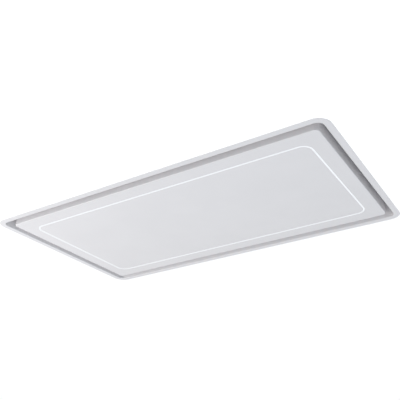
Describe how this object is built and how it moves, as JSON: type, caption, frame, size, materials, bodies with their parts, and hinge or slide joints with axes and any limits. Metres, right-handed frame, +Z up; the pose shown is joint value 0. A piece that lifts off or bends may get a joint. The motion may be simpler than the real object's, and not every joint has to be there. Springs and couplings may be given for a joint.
{
  "type": "ceiling range hood",
  "caption": "Flush ceiling range hood: slim white frame, perimeter suction slot round a hinged panel with a closed light line, built-in blower and side duct outlet.",
  "frame": {"origin": "centre of the four hanging holes, in the plane of the hangers' top faces; the flush underside is 300 mm below", "axes": "+X along the hood towards the duct outlet, -Y towards the cook, +Z up into the ceiling"},
  "size_m": [0.91, 0.51, 0.3],
  "materials": {
    "white_paint": "white powder coat, satin",
    "galvanised": "galvanised sheet with faint spangle",
    "bright_steel": "zinc plated steel",
    "zinc": "zinc plated screws",
    "spring_steel": "drawn spring wire",
    "aluminium": "satin anodised",
    "filter_mesh": "pleated expanded mesh",
    "light_line": "opal diffuser, lit",
    "white_plastic": "moulded",
    "grey_plastic": "moulded",
    "black_plastic": "moulded, fine texture",
    "led_phosphor": "phosphor under clear resin",
    "rubber": "matt",
    "ferrite": "sintered, ground faces",
    "brass": "bright contact faces",
    "motor_casting": "dark lacquered motor shell"
  },
  "bodies": {
    "hood": {"trim_flange": "white_paint", "recess_wall": "white_paint", "recess_lip": "white_paint", "filter_rails": "galvanised", "outlet_plate": "galvanised", "plenum_walls": "galvanised", "plenum_top": "galvanised", "motor_box": "galvanised", "filter_deck": "white_paint", "outlet_collar": "galvanised", "damper_spindle": "bright_steel", "damper_spring": "spring_steel", "scroll_lower": "galvanised", "scroll_upper": "galvanised", "motor_body": "motor_casting", "motor_bracket": "galvanised", "vibration_mounts": "rubber", "control_box": "galvanised", "control_box_lid": "galvanised", "cable_gland": "black_plastic", "terminal_block": "white_plastic", "led_driver": "white_plastic", "hinge_arm_left": "bright_steel", "hinge_arm_right": "bright_steel", "catch_post_left": "galvanised", "catch_post_right": "galvanised", "catch_magnets": "ferrite", "contact_block": "black_plastic", "contact_pins": "brass", "switch_bezel": "black_plastic", "filter_frame_left": "aluminium", "filter_frame_right": "aluminium", "filter_mesh_left": "filter_mesh", "filter_mesh_right": "filter_mesh", "latch_spring_left": "spring_steel", "latch_spring_right": "spring_steel", "hood_screws": "zinc", "hanger_brackets": "galvanised"},
    "panel": {"panel_ring": "white_paint", "panel_centre": "white_paint", "light_channel": "aluminium", "light_diffuser": "light_line", "led_strip": "white_plastic", "led_chips": "led_phosphor", "panel_back_cover": "galvanised", "hinge_leaf_left": "bright_steel", "hinge_leaf_right": "bright_steel", "hinge_pins": "bright_steel", "strike_plates": "bright_steel", "contact_pad": "brass", "panel_screws": "zinc"},
    "blower_rotor": {"impeller": "galvanised", "motor_shaft": "bright_steel"},
    "damper_a": {"damper_flap_a": "grey_plastic", "damper_sleeves_a": "grey_plastic"},
    "damper_b": {"damper_flap_b": "grey_plastic", "damper_sleeves_b": "grey_plastic"},
    "latch_left": {"filter_latch_left": "black_plastic"},
    "latch_right": {"filter_latch_right": "black_plastic"},
    "rocker": {"master_rocker": "white_plastic"}
  },
  "joints": [
    {"name": "panel_hinge", "type": "hinge", "parent": "hood", "child": "panel", "pos_m": [0, 0.1935, -0.27], "axis": [1, 0, 0], "range_deg": [0, 88]},
    {"name": "impeller_spin", "type": "hinge", "parent": "hood", "child": "blower_rotor", "pos_m": [0.0438, 0.018, -0.1078], "axis": [0, 0, 1], "continuous": true},
    {"name": "damper_a_swing", "type": "hinge", "parent": "hood", "child": "damper_a", "pos_m": [0.2582, -0.09114, -0.1078], "axis": [0, 0, -1], "range_deg": [0, 76], "stiffness_Nm_per_rad": 0.01, "springref_deg": -17.19},
    {"name": "damper_b_swing", "type": "hinge", "parent": "hood", "child": "damper_b", "pos_m": [0.2582, -0.09114, -0.1078], "axis": [0, 0, 1], "range_deg": [0, 76], "stiffness_Nm_per_rad": 0.01, "springref_deg": -17.19},
    {"name": "latch_left_slide", "type": "slide", "parent": "hood", "child": "latch_left", "axis": [0, 1, 0], "range_m": [0, 0.006], "stiffness_N_per_m": 300, "springref_m": -0.004, "deforming": ["latch_spring_left"]},
    {"name": "latch_right_slide", "type": "slide", "parent": "hood", "child": "latch_right", "axis": [0, 1, 0], "range_m": [0, 0.006], "stiffness_N_per_m": 300, "springref_m": -0.004, "deforming": ["latch_spring_right"]},
    {"name": "rocker_tilt", "type": "hinge", "parent": "hood", "child": "rocker", "pos_m": [0, -0.06, -0.231], "axis": [1, 0, 0], "range_deg": [0, 16]}
  ]
}
